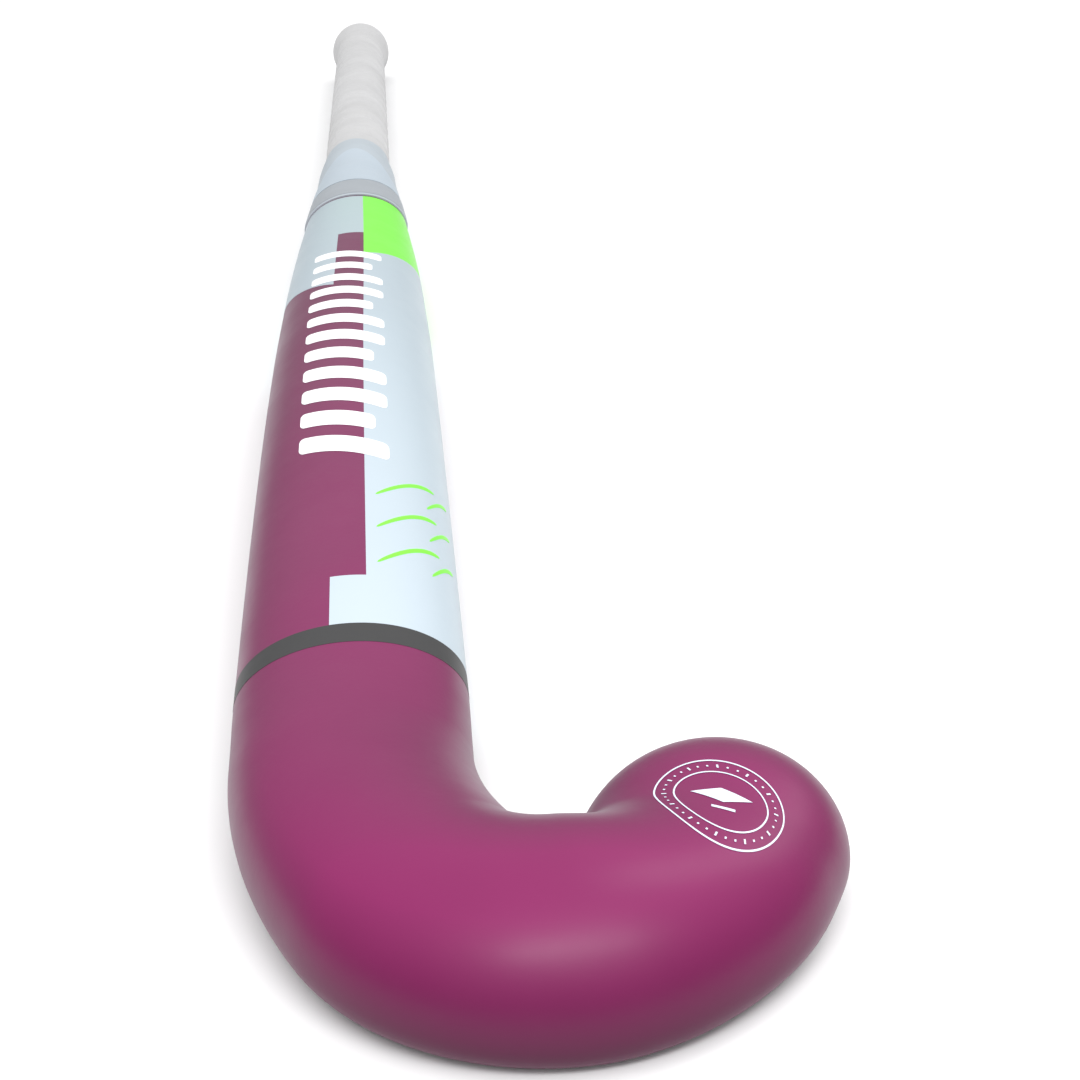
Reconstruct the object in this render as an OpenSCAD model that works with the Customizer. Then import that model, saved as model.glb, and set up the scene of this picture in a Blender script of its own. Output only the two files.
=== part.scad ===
// Field hockey stick: a moulded twin-tube composite shaft and hook with a wrapped handle.
// It lies on its flat playing face. X points to the toe, Y up the shaft to the butt,
// and Z out of the round back.

/* [Stick] */
// Overall length from the foot of the hook to the butt
stick_length = 927; // [900:1:950]
// Depth of the bow, the rise of the face line above a straight edge
bow_depth = 15.5; // [12:0.5:24]
// Height of the deepest point of the bow above the foot of the hook
bow_place = 265; // [255:5:340]
// Height over which the face of the hook stays flat
flat_height = 88; // [80:1:100]

/* [Shaft] */
// Width of the bare handle, which is round
handle_w = 21; // [20.5:0.5:22]
// Width just below the end of the grip
throat_w = 26; // [25:0.5:28]
// Width at the lower edge of the collar
collar_w = 35.5; // [34:0.5:37]
// Width a hand's breadth below the collar
neck_w = 42.5; // [39:0.5:44]
// Width half-way down the shaft
shaft_w = 44.5; // [43:0.5:47]
// Width at the dark ring
ring_w = 45; // [44:0.5:49]
// Thickness half-way down the shaft
shaft_t = 23.5; // [21:0.5:25]
// Thickness at the dark ring
ring_t = 20; // [19.5:0.5:25]
// Thickness of the outer laminate
wall = 2; // [1.6:0.1:2.4]
// Thickness of each inner tube
tube_wall = 0.8; // [0.6:0.1:1]

/* [Hook] */
// Width where the shaft starts to bend
hook_w = 44.5; // [44:0.5:50]
// Width at the foot of the hook
foot_w = 46; // [44:0.5:50]
// Width half-way round from the foot to the toe
mid_w = 43.5; // [42.5:0.5:50]
// Width of the toe
toe_w = 45; // [43:0.5:50]
// Thickness at the foot of the hook
foot_t = 25.5; // [25:0.5:31]
// Thickness of the toe
toe_t = 21; // [20:0.5:27]
// Centreline radius of the bend
bend_r = 26; // [25.5:0.5:32]
// Length over which the toe rounds off
toe_round = 24.5; // [24:0.5:36]
// Thickness of the laminate round the hook
hook_wall = 3.4; // [2.6:0.1:3.6]

/* [Grip] */
// Height of the collar's lower edge above the start of the bend
collar_low = 380; // [370:1:400]
// Length of the collar
collar_h = 100; // [92:1:110]
// Length of the dark cuff at the collar's lower edge
cuff_h = 24; // [20:1:30]
// Thickness of the foam under the grip
underlay_t = 0.6; // [0.5:0.1:1.2]
// Thickness of the grip tape
tape_t = 1.4; // [1.2:0.1:1.8]
// Distance that the tape advances in one turn
tape_pitch = 22; // [18:1:28]
// Radius of the bulb at the butt, bare
bulb_r = 14.25; // [13.5:0.25:16]

/* [Markings] */
// Height of the dark ring's lower edge above the start of the bend
ring_low = 21; // [15:1:40]
// Height of the dark ring
ring_h = 7; // [5:0.5:10]
// Thickness of the printed films
film = 0.12; // [0.1:0.01:0.15]

/* [Hidden] */
plum = "#a3346f";
pale_blue = "#dce9f1";
lime = "#99ff6b";
cream = "#dddddd";

// Gap between pieces that are bonded face to face
bond = 0.05;
// Radius of the edges between the face and the sides
edge_r = 6;

// ---- Centreline ----
// Bends from the shaft to the toe, each a radius and an angle, then a short straight
bends = [[79, 6], [93, 21.5], [bend_r, 126], [38, 2]];
toe_straight = 6.2;
function total(v, i = 0) = i == len(v) ? 0 : v[i][0] * v[i][1] * PI / 180 + total(v, i + 1);
// Distance s along the centreline is 0 where the bends start, minus up the shaft
toe_tip = total(bends) + toe_straight + toe_round;

// Point and heading at distance s
function walk(s, i = 0, x = 0, y = 0, h = -90) =
    s < 0 ? [0, -s, -90] :
    i == len(bends) ? [x + s * cos(h), y + s * sin(h), h] :
    let (r = bends[i][0], a = bends[i][1], l = r * a * PI / 180)
    s <= l
        ? let (g = h + s / r * 180 / PI) [x + r * (sin(g) - sin(h)), y - r * (cos(g) - cos(h)), g]
        : walk(s - l, i + 1, x + r * (sin(h + a) - sin(h)), y - r * (cos(h + a) - cos(h)), h + a);

// Distance at which the heading is level, which is the foot of the hook
function level(i = 0, h = -90, s = 0) =
    let (r = bends[i][0], a = bends[i][1])
    h + a >= 0 ? s - h * r * PI / 180 : level(i + 1, h + a, s + r * a * PI / 180);
foot_s = level();
foot_y = walk(foot_s)[1] - foot_w / 2;
butt_y = foot_y + stick_length;

// ---- Bow ----
// The face line rises straight from the foot, bends evenly and runs straight to the butt.
// The drop leaves the wrapped bulb at the butt as low as the foot.
grip_t = underlay_t + tape_t;
bend_height = bow_place - flat_height;
bow_k = bow_depth / (bend_height * flat_height + bend_height * bend_height / 2);
face_slope = bow_k * bend_height;
foot_rise = edge_r * (1 + face_slope - sqrt(1 + face_slope * face_slope));
butt_rise = bulb_r + tape_t - handle_w / 2 + foot_rise;
past = stick_length - bow_place;
bow_past = past - sqrt(past * past - 2 * (bow_depth - butt_rise) / bow_k);
handle_slope = bow_k * bow_past;
handle_tilt = atan(handle_slope);
function face_z(y) =
    let (u = y - foot_y, bent = min(max(u, flat_height), bow_place + bow_past) - flat_height)
    face_slope * min(u, bow_place + bow_past) - bow_k * bent * bent / 2
        - handle_slope * max(u - bow_place - bow_past, 0);

// ---- Section ----
// Smooth curve through a list of [place, value] knots
function knot(k, s, i = 0) = i >= len(k) - 2 || s < k[i + 1][0] ? i : knot(k, s, i + 1);
function rate(k, i) = (k[i + 1][1] - k[i][1]) / (k[i + 1][0] - k[i][0]);
function slope(k, i) =
    i == 0 || i == len(k) - 1 ? 0 :
    rate(k, i - 1) * rate(k, i) <= 0 ? 0 :
    2 * rate(k, i - 1) * rate(k, i) / (rate(k, i - 1) + rate(k, i));
function along(k, s) =
    let (i = knot(k, s), h = k[i + 1][0] - k[i][0], t = min(max((s - k[i][0]) / h, 0), 1))
    (2 * t * t * t - 3 * t * t + 1) * k[i][1] + (t * t * t - 2 * t * t + t) * slope(k, i) * h
        + (3 * t * t - 2 * t * t * t) * k[i + 1][1] + (t * t * t - t * t) * slope(k, i + 1) * h;

// The flare starts under the collar, below the end of the grip.
flare_s = -collar_low - 90;
widths = [
    [-butt_y, handle_w], [flare_s, handle_w], [flare_s + 16, throat_w], [-collar_low, collar_w],
    [90 - collar_low, neck_w], [-215, shaft_w], [-ring_low, ring_w], [0, hook_w], [foot_s, foot_w],
    [(foot_s + toe_tip - toe_round) / 2, mid_w], [toe_tip - toe_round, toe_w], [toe_tip, toe_w]
];
depths = [
    [-butt_y, handle_w], [flare_s, handle_w], [-215, shaft_t], [-ring_low, ring_t],
    [foot_s, foot_t], [toe_tip - toe_round, toe_t], [toe_tip, toe_t]
];
walls = [[-butt_y, wall], [-60, wall], [10, hook_wall], [toe_tip, hook_wall]];
// 1 where the section is round, on the handle, and 0 where it has a flat face
roundness = [[-butt_y, 1], [flare_s, 1], [flare_s + 248, 0], [toe_tip, 0]];

// Rounding off at the toe: a quarter ellipse of length l, at e before the tip
function cap(e, l) = sqrt(max(1 - pow(1 - min(max(e / l, 0), 1), 2), 0));

// Half width, height of the back over the widest line, edge width and edge height, g outside the skin
function size(s, g = 0) =
    let (
        w = along(widths, s), t = along(depths, s), n = along(roundness, s),
        ez = edge_r * (1 - n) + t / 2 * n,
        ex = edge_r * (1 - n) + (w / 2 - 0.4) * n,
        a = (w / 2 + g) * cap(toe_tip + g - s, toe_round + g)
    )
    [
        a,
        (t - ez + g) * cap(toe_tip + g - s, 0.8 * toe_round + g),
        min(ex + g, 0.98 * a),
        (ez + g) * cap(toe_tip + g - s, edge_r + g)
    ];

// Height of the widest line above the face
function middle(s) = let (n = along(roundness, s)) edge_r * (1 - n) + handle_w / 2 * n;

// Outline point at t: 0 is the toe side, 90 the back, 180 the heel side, and 270 the flat face
function outline(z, t) =
    t <= 180 ? [z[0] * cos(t), z[1] * sin(t)] :
    t <= 270 ? [z[2] * (1 + cos(t)) - z[0], z[3] * sin(t)] :
    [z[0] - z[2] * (1 - cos(t)), z[3] * sin(t)];

// Point at distance s, p[0] to the left of the heading and p[1] above the widest line
function raw(s, p) =
    let (c = walk(s), x = c[0] - p[0] * sin(c[2]), y = c[1] + p[0] * cos(c[2]))
    [x, y, face_z(y) + middle(s) + p[1]];

// The origin is at the middle of the footprint, on the surface that the stick lies on.
side_x = [for (i = [0:40]) raw(i * toe_tip / 40, outline(size(i * toe_tip / 40), 0))[0]];
heel_x = [for (i = [0:40]) raw(i * toe_tip / 40, outline(size(i * toe_tip / 40), 180))[0]];
origin = [
    (max(concat(side_x, heel_x)) + min(concat(side_x, heel_x))) / 2,
    foot_y + stick_length / 2,
    foot_rise
];
function spot(s, p) = raw(s, p) - origin;
function skin(s, t, g = 0) = spot(s, outline(size(s, g), t));

// ---- Meshes ----
back_steps = 20;
flat_end = 270.001;
angles = [
    for (i = [0:back_steps]) i * 180 / back_steps,
    for (t = [202, 225, 248, 270, flat_end, 292, 315, 338]) t
];
shell_end = 6;
shaft_rings = [
    shell_end - butt_y, flare_s - 60, flare_s - 20, flare_s,
    for (i = [1:8]) flare_s + i * (-collar_low - flare_s) / 8,
    for (i = [1:16]) -collar_low + i * (collar_low + 4) / 17
];
hook_rings = [for (i = [0:30]) i * (toe_tip - toe_round) / 30];
function toe_rings(g) = [for (i = [1:9]) toe_tip + g - (toe_round + g) * pow(1 - i / 10, 2)];

function join(v) = [for (a = v) for (b = a) b];
function ring(s, g = 0) = [for (t = angles) skin(s, t, g)];

// Faces between rings i0 to i1 of n points, whose first point is number p
function bands(n, i0, i1, p = 0) = join([
    for (i = [i0:i1 - 1], j = [0:n - 1])
        let (a = p + i * n + j, b = p + i * n + (j + 1) % n)
        [[a, b, b + n], [a, b + n, a + n]]
]);
function fan(n, first, tip) = [for (j = [0:n - 1]) [first + j, first + (j + 1) % n, tip]];
function turned(faces) = [for (f = faces) [f[0], f[2], f[1]]];

// Closed skin from a list of rings and a tip point, with a flat end at the first ring
module loft(loops, tip) {
    n = len(loops[0]);
    m = len(loops);
    polyhedron(
        points = concat(join(loops), [tip]),
        faces = concat([[for (j = [0:n - 1]) n - 1 - j]], bands(n, 0, m - 1), fan(n, (m - 1) * n, m * n)),
        convexity = 6
    );
}

// Wall between outer and inner rings, open at both ends
module sleeve(outer, inner) {
    n = len(outer[0]);
    m = len(outer);
    polyhedron(
        points = concat(join(outer), join(inner)),
        faces = concat(
            bands(n, 0, m - 1),
            turned(bands(n, 0, m - 1, m * n)),
            join([
                for (j = [0:n - 1])
                    let (k = (j + 1) % n, o = (m - 1) * n, q = m * n)
                    [
                        [j, q + k, k], [j, q + j, q + k],
                        [o + j, o + k, q + o + k], [o + j, q + o + k, q + o + j]
                    ]
            ])
        ),
        convexity = 8
    );
}

// Thin sheet over a grid of places. top and low are grids of points, and the sheet closes round its rim.
module sheet(top, low) {
    m = len(top);
    n = len(top[0]);
    q = m * n;
    rim = concat(
        [for (j = [0:n - 2]) j], [for (i = [0:m - 2]) i * n + n - 1],
        [for (j = [0:n - 2]) q - 1 - j], [for (i = [0:m - 2]) (m - 1 - i) * n]
    );
    over = join([
        for (i = [0:m - 2], j = [0:n - 2])
            let (a = i * n + j) [[a, a + 1, a + n + 1], [a, a + n + 1, a + n]]
    ]);
    polyhedron(
        points = concat(join(top), join(low)),
        faces = concat(
            over,
            [for (f = over) [f[0] + q, f[2] + q, f[1] + q]],
            join([
                for (i = [0:len(rim) - 1])
                    let (a = rim[i], b = rim[(i + 1) % len(rim)])
                    [[a, b + q, b], [a, a + q, b + q]]
            ])
        ),
        convexity = 4
    );
}

// Film over the cells of a slanted grid of distances ss and angles ts, round the whole section,
// where covers(s, t) is true at a cell's middle
module mosaic(ss, ts, covers, g0, g1) {
    m = len(ss);
    n = len(ts);
    q = m * n;
    kept = [
        for (i = [0:m - 2]) [
            for (j = [0:n - 1])
                covers((ss[i] + ss[i + 1]) / 2, j == n - 1 ? (ts[j] + 360) / 2 : (ts[j] + ts[j + 1]) / 2)
        ]
    ];
    function has(i, j) = i >= 0 && i <= m - 2 && kept[i][(j + n) % n];
    function wall_faces(a, b) = [[a, b + q, b], [a, a + q, b + q]];
    polyhedron(
        points = join([for (g = [g1, g0], s = ss) [for (t = ts) skin(slant(s, t), t, g)]]),
        faces = join([
            for (i = [0:m - 2], j = [0:n - 1]) if (has(i, j))
                let (k = (j + 1) % n, a = i * n + j, b = i * n + k, c = b + n, d = a + n)
                concat(
                    [[a, b, c], [a, c, d], [a + q, c + q, b + q], [a + q, d + q, c + q]],
                    has(i - 1, j) ? [] : wall_faces(a, b),
                    has(i, j + 1) ? [] : wall_faces(b, c),
                    has(i + 1, j) ? [] : wall_faces(c, d),
                    has(i, j - 1) ? [] : wall_faces(d, a)
                )
        ]),
        convexity = 6
    );
}

// A list with its own ends and the members of v that lie well between them
function between(v, lo, hi) = [lo, for (x = v) if (x > lo + 0.4 && x < hi - 0.4) x, hi];
all_rings = concat(shaft_rings, hook_rings);

// ---- Laminate ----
module outer_shell() {
    outside = concat(shaft_rings, hook_rings, toe_rings(0));
    inside = concat(shaft_rings, hook_rings, toe_rings(-hook_wall));
    n = len(angles);
    m = len(outside);
    q = m * n + 1;
    color(plum) polyhedron(
        points = concat(
            join([for (s = outside) ring(s)]), [spot(toe_tip, [0, 0])],
            join([for (s = inside) ring(s, -along(walls, s))]), [spot(toe_tip - hook_wall, [0, 0])]
        ),
        faces = concat(
            bands(n, 0, m - 1), fan(n, (m - 1) * n, m * n),
            turned(bands(n, 0, m - 1, q)), turned(fan(n, q + (m - 1) * n, q + m * n)),
            join([for (j = [0:n - 1]) let (k = (j + 1) % n) [[j, q + k, k], [j, q + j, q + k]]])
        ),
        convexity = 10
    );
}

// Half of the hollow, toe side: along the face, round the edge, over the back to the web
tube_gap = 0.15;
function half_ring(s, g) =
    let (z = size(s, g), web = tube_gap / 2 - (g + along(walls, s) + tube_gap))
    [
        for (p = concat(
            [[web, -z[3]], [max(z[0] - z[2], web + 0.05), -z[3]]],
            [for (t = [292, 315, 338]) outline(z, t)],
            [for (i = [0:back_steps / 2 - 1]) outline(z, i * 180 / back_steps)],
            [[web, z[1] * sqrt(1 - pow(web / z[0], 2))]]
        )) spot(s, p)
    ];
tube_top = 60;
tube_rings = [
    tube_top - butt_y, flare_s - 60, flare_s, for (i = [1:4]) flare_s + i * (-collar_low - flare_s) / 4,
    for (i = [1:10]) -collar_low + i * (collar_low - 10) / 10
];
module tube() {
    sleeve(
        [for (s = tube_rings) half_ring(s, -along(walls, s) - tube_gap)],
        [for (s = tube_rings) half_ring(s, -along(walls, s) - tube_gap - tube_wall)]
    );
}
module tube_toe_side() color("#303438") tube();
module tube_heel_side() color("#303438")
    translate([-origin[0], 0, 0]) mirror([1, 0, 0]) translate([origin[0], 0, 0]) tube();

core_g = -hook_wall - 1;
module hook_core() {
    places = concat([for (i = [0:19]) 4 + i * (toe_tip - toe_round - 4) / 19], toe_rings(core_g));
    color("#e8dcb8") loft([for (s = places) ring(s, core_g)], spot(toe_tip + core_g, [0, 0]));
}

module heel_patch() {
    ss = between(hook_rings, 14, foot_s + 24);
    ts = between(angles, 99, 225);
    color("#d8b03c") sheet(
        [for (s = ss) [for (t = ts) skin(s, t, -hook_wall - 0.2)]],
        [for (s = ss) [for (t = ts) skin(s, t, -hook_wall - 0.8)]]
    );
}

// ---- Handle ----
// Places its children on the handle's axis, with Z out of the butt and 0 at the end face
module on_handle() {
    translate([0, butt_y, face_z(butt_y) + handle_w / 2] - origin) rotate([-90 - handle_tilt, 0, 0])
        children();
}
module turned_part(profile) on_handle() rotate_extrude($fn = 96) polygon(profile);

bore_r = handle_w / 2 + bond;
disc_r = 10.5;
cap_skirt = 32;
spigot_r = handle_w / 2 - wall - 0.4;
shoulder = 10;
// Outer radius of the bare cap under the tape at depth d
function bulb(d) =
    d < shoulder
        ? disc_r + 0.5 + (bulb_r - disc_r - 0.5) * sqrt(1 - pow(over(d), 2))
        : bore_r + 0.5 + (bulb_r - bore_r - 0.5)
            * (1 + cos(180 * min((d - shoulder) / (cap_skirt - shoulder), 1))) / 2;
shoulder_depths = [for (i = [0:6]) tape_t + (shoulder - tape_t) * pow(i / 6, 2)];
skirt_depths = [for (i = [1:8]) shoulder + (cap_skirt - shoulder) * i / 8];

module butt_cap() color("#8c9094") turned_part(concat(
    [[0, 0], [disc_r, 0]],
    [for (d = shoulder_depths) [bulb(d) - (d == tape_t ? 0.5 : 0), -d]],
    [for (d = skirt_depths) [bulb(d), -d]],
    [[bore_r, -cap_skirt], [bore_r, -shell_end], [spigot_r, -shell_end], [spigot_r, -24], [0, -24]]
));

module damping_plug() color("#2c2c30") turned_part([[0, -25], [spigot_r, -25], [spigot_r, -52], [0, -52]]);

grip_length = butt_y - collar_low - collar_h + 9;
underlay_r = bore_r + underlay_t;
module grip_underlay() color("#b9bcc0") turned_part([
    [bore_r, -cap_skirt - 0.5], [underlay_r, -cap_skirt - 0.5],
    [underlay_r, -grip_length + 12], [bore_r, -grip_length + 12]
]);

// The tape lies over the cap's shoulder and the foam, and each turn laps the one before.
lap = 0.35;
tail = 12;
function over(d) = 1 - (d - tape_t) / (shoulder - tape_t);
function tape_inner(d) = d <= cap_skirt
    ? max(bulb(d), d > shoulder ? underlay_r : 0) + bond
    : underlay_r + bond;
turn_depths = [
    for (i = [0:floor((grip_length - tail - cap_skirt) / tape_pitch) - 1])
        for (p = [[0.5, 0], [3, lap], [tape_pitch - 2, lap * 0.6], [tape_pitch - 0.5, 0]])
            [cap_skirt + i * tape_pitch + p[0], p[1]]
];
module grip_wrap() color(cream) turned_part(concat(
    [[disc_r + bond, 0], [disc_r + 1.5, 0]],
    [for (d = shoulder_depths) if (d > tape_t) [tape_inner(d) + tape_t, tape_t * pow(over(d), 2) - d]],
    [for (d = skirt_depths) [tape_inner(d) + tape_t, -d]],
    [for (p = turn_depths) [underlay_r + bond + tape_t + p[1], -p[0]]],
    [[underlay_r + bond + tape_t, -grip_length + tail], [bore_r + bond + 0.6, -grip_length]],
    [[bore_r + bond, -grip_length], [bore_r + bond, -grip_length + tail - 0.5]],
    [[underlay_r + bond, -grip_length + tail - 0.5]],
    [for (i = [len(skirt_depths) - 1:-1:0]) [tape_inner(skirt_depths[i]), -skirt_depths[i]]],
    [for (i = [len(shoulder_depths) - 1:-1:0]) [tape_inner(shoulder_depths[i]), -shoulder_depths[i]]],
    [[disc_r + bond, -tape_t + 0.1]]
));

// The collar laps over the end of the grip tape, bridges the flare and runs down on to the bare shaft.
collar_t = 0.5;
collar_top = -collar_low - collar_h;
over_grip = grip_t + 3 * bond + 0.15;
collar_inner = [
    [collar_top - 3, over_grip], [collar_top + 2, over_grip], [collar_top + 12, 2.9],
    [collar_top + 26, 1.45], [collar_top + 50, 0.3], [-collar_low, bond]
];
function collar_g(s) = along(collar_inner, s) + collar_t;
collar_rings = between(concat([collar_top + 4, collar_top + 12], shaft_rings), collar_top - 3, -collar_low);
module collar_tape() color("#c2cad0") sleeve(
    [for (s = collar_rings) ring(s, collar_g(s))],
    [for (s = collar_rings) ring(s, collar_g(s) - collar_t)]
);

// The cuff and the label lie on the collar. The label's upper edge is an arch over the back.
cuff_low = -collar_low - 3;
cuff_top = cuff_low - cuff_h;
label_gap = 0.16;
cuff_rings = between(collar_rings, cuff_top, cuff_low);
module collar_cuff() color("#8f9397") sleeve(
    [for (s = cuff_rings) ring(s, collar_g(s) + label_gap + film)],
    [for (s = cuff_rings) ring(s, collar_g(s) + label_gap)]
);

label_start = 20;
label_drop = 60;
module collar_label() {
    ts = [for (i = [2:16]) i * 10];
    function place(t, i) =
        let (top = collar_top + label_start + label_drop * (1 - sin(t))) top + (cuff_top - 1 - top) * i / 6;
    color("#ccd8e1") sheet(
        [for (i = [0:6]) [for (t = ts) let (s = place(t, i)) skin(s, t, collar_g(s) + label_gap + film)]],
        [for (i = [0:6]) [for (t = ts) let (s = place(t, i)) skin(s, t, collar_g(s) + label_gap)]]
    );
}

// ---- Markings ----
under_g = 0.02;
over_g = under_g + film + 0.02;
ring_top = ring_low + ring_h;
module dark_ring() {
    ss = between(all_rings, -ring_top, -ring_low);
    color("#4f4f50") sleeve([for (s = ss) ring(s, over_g)], [for (s = ss) ring(s, under_g)]);
}

// Angles and heights that bound the panels
split_t = 79;
step_t = 97.5;
column_t = 102;
step_top = 47.5;
plum_top = 247;
column_top = 317;
green_low = 286;
panel_s = between(shaft_rings, -collar_low + 1, -ring_top - 0.2);
function sorted(v) =
    len(v) < 2 ? v :
    let (p = v[floor(len(v) / 2)])
    concat(sorted([for (x = v) if (x < p) x]), [p], sorted([for (x = v) if (x > p) x]));
// The members of v that lie clear of the extra ones, with the extra ones
function with(v, extra, gap) =
    sorted(concat([for (x = v) if (min([for (e = extra) abs(x - e)]) > gap) x], extra));
panel_ss = with(panel_s, [-step_top, -plum_top, -column_top, -green_low], 3);
panel_ts = with(angles, [split_t, step_t, column_t], 2);

// Slant of the panels' cross edges: the green one climbs to the toe side, the plum one to the heel side
green_rise = 15;
plum_rise = 20;
function near(d) = exp(-pow(d / 40, 2));
function slant(s, t) =
    let (u = t > 271 ? t - 360 : t)
    s - green_rise * min(max((split_t - u) / 70, 0), 1) * near(s + green_low)
        - plum_rise * min(max((u - column_t) / 60, 0), 1) * near(s + plum_top);
function toe_half(t) = t < split_t || t > 271;
function is_green(s, t) = toe_half(t) && s < -green_low;
function is_blue(s, t) =
    !is_green(s, t) && (
        toe_half(t) ||
        (t < step_t && s > -step_top) ||
        (t > column_t && s < -plum_top) ||
        (t < column_t && s < -column_top)
    );
module blue_panel()
    color(pale_blue) mosaic(panel_ss, panel_ts, function(s, t) is_blue(s, t), under_g, under_g + film);
module green_panel()
    color(lime) mosaic(panel_ss, panel_ts, function(s, t) is_green(s, t), under_g, under_g + film);

// Slanted bars across the back, in groups of three, thickest at the bottom
bar_low = 113;
bar_high = 285;
bar_count = 12;
function bar_place(h, half, t, v) = -h - 0.15 * (t - 92) - v * half;
module bar(h, half, t0, t1) {
    ts = between(angles, t0, t1);
    sheet(
        [for (v = [-1, 1]) [for (t = ts) skin(bar_place(h, half, t, v), t, over_g + film)]],
        [for (v = [-1, 1]) [for (t = ts) skin(bar_place(h, half, t, v), t, over_g)]]
    );
}
module shaft_bars() color("white") for (i = [0:bar_count - 1]) {
    k = i / (bar_count - 1);
    bar(bar_low + (bar_high - bar_low) * k, 4.6 - 0.6 * k, i % 3 == 1 ? 72 : 64, 119 + 3 * k);
}

// Six thin curved strokes on the toe side: three long and three short
wave_steps = 12;
function wave_place(h, rise, k, v) =
    -h - rise * sin(90 * k) + v * (0.2 + 0.7 * sqrt(max(1 - pow(2 * k - 1, 4), 0)));
function wave_row(h, rise, t0, t1, v, g) = [
    for (i = [0:wave_steps])
        let (k = i / wave_steps) skin(wave_place(h, rise, k, v), t1 + (t0 - t1) * k, g)
];
module wave(h, rise, t0, t1) {
    sheet(
        [for (v = [-1, 1]) wave_row(h, rise, t0, t1, v, over_g + film)],
        [for (v = [-1, 1]) wave_row(h, rise, t0, t1, v, over_g)]
    );
}
wave_low = 53.5;
wave_gap = 16;
module wave_marks() color(lime) for (i = [0:2]) {
    wave(wave_low + wave_gap * i, 11.5, 32, 73);
    wave(wave_low + wave_gap * i + 0.8, 9, 17, 39.5);
}

// Roundel on the toe: two thin rings with ticks between them, round a lozenge over a short bar
roundel_s = toe_tip - 30;
roundel_p = -3.6;
roundel_r = 11.7;
roundel_inner = roundel_r * 0.7;
tick_count = 24;
// The print is set askew to the hook's centreline and a little flattened.
roundel_x = [0.98, -0.12];
roundel_y = [0.33, 0.88];
function on_toe(x, y, g) =
    let (q = x * roundel_x + y * roundel_y, s = roundel_s + q[1], p = roundel_p + q[0], z = size(s, g))
    spot(s, [p, z[1] * sqrt(max(1 - pow(p / z[0], 2), 0))]);
// Film over a grid of places on the toe
module toe_film(places) sheet(
    [for (row = places) [for (p = row) on_toe(p[0], p[1], 0.1 + film)]],
    [for (row = places) [for (p = row) on_toe(p[0], p[1], 0.1)]]
);
module toe_band(r0, r1, steps) for (half = [0:1])
    toe_film([
        for (r = [r1, r0])
            [for (i = [0:steps / 2]) let (a = 180 * half + 360 * i / steps) [r * cos(a), r * sin(a)]]
    ]);
module toe_roundel() color("#dfe8f0") {
    toe_band(roundel_r - 0.5, roundel_r, 48);
    toe_band(roundel_inner - 0.4, roundel_inner, 40);
    for (i = [0:tick_count - 1]) {
        a = 360 * i / tick_count;
        toe_film([
            for (v = [-0.3, 0.3]) [for (r = [roundel_inner + 1.2, roundel_r - 1.7])
                [r * cos(a) - v * sin(a), r * sin(a) + v * cos(a)]]
        ]);
    }
    toe_film([for (v = [-1:0.5:1]) [for (u = [-1:0.5:1]) [(u + v) * 2.6, (v - u) * 1.1 + 1]]]);
    toe_film([for (v = [-3.2, -2.6]) [for (u = [-2:1:2]) [u, v]]]);
}

outer_shell();
tube_toe_side();
tube_heel_side();
hook_core();
heel_patch();
damping_plug();
butt_cap();
grip_underlay();
grip_wrap();
collar_tape();
collar_cuff();
collar_label();
dark_ring();
blue_panel();
green_panel();
shaft_bars();
wave_marks();
toe_roundel();
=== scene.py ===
import math

import bmesh
import bpy
import numpy as np
from mathutils import Matrix, Vector


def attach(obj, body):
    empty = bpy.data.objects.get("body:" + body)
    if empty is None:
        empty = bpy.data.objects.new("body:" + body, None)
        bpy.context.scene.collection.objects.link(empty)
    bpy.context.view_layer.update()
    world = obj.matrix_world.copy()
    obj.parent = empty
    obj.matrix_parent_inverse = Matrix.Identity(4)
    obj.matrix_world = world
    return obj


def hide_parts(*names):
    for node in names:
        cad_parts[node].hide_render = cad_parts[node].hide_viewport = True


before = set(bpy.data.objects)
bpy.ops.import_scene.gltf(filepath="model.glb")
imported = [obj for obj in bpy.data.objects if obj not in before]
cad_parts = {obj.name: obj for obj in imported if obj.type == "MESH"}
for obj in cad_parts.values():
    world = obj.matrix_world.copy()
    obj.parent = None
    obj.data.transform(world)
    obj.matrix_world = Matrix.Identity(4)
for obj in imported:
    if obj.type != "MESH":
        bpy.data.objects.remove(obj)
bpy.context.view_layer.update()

# Field hockey stick: smooth skins, films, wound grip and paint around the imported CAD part.
# Sizes are in millimetres, as in the CAD source, and meshes are made in metres.
MM = 0.001
BODY = "root"

# ---- Sizes, the same as the CAD source's ----
STICK_LENGTH = 927.0
# Depth of the bow, its place above the foot, and the height over which the face stays flat
BOW_DEPTH, BOW_PLACE, FLAT_HEIGHT = 15.5, 265.0, 88.0
# Widths down the stick: handle, below the grip's end, collar's lower edge, neck, shaft and ring
HANDLE_W, THROAT_W, COLLAR_W = 21.0, 26.0, 35.5
NECK_W, SHAFT_W, RING_W = 42.5, 44.5, 45.0
# Widths round the hook
HOOK_W, FOOT_W, MID_W, TOE_W = 44.5, 46.0, 43.5, 45.0
# Thicknesses, and the laminate's wall in the shaft and in the hook
SHAFT_T, RING_T, FOOT_T, TOE_T = 23.5, 20.0, 25.5, 21.0
WALL, HOOK_WALL = 2.0, 3.4
# Rounding of the toe's end and of the flat face's edges
TOE_ROUND, EDGE_R = 24.5, 6.0
# Centreline of the hook: radius and degrees of each bend, then a straight toe
BENDS = ((79.0, 6.0), (93.0, 21.5), (26.0, 126.0), (38.0, 2.0))
TOE_STRAIGHT = 6.2
# Heights above the start of the first bend, and heights of the bands
COLLAR_LOW, COLLAR_H, CUFF_H = 380.0, 100.0, 24.0
RING_LOW, RING_H = 21.0, 7.0
# Grip: foam, tape, the pitch of its turns, and the radius of the butt cap's bulb
UNDERLAY_T, TAPE_T, TAPE_PITCH, BULB_R = 0.6, 1.4, 22.0, 14.25
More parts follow.
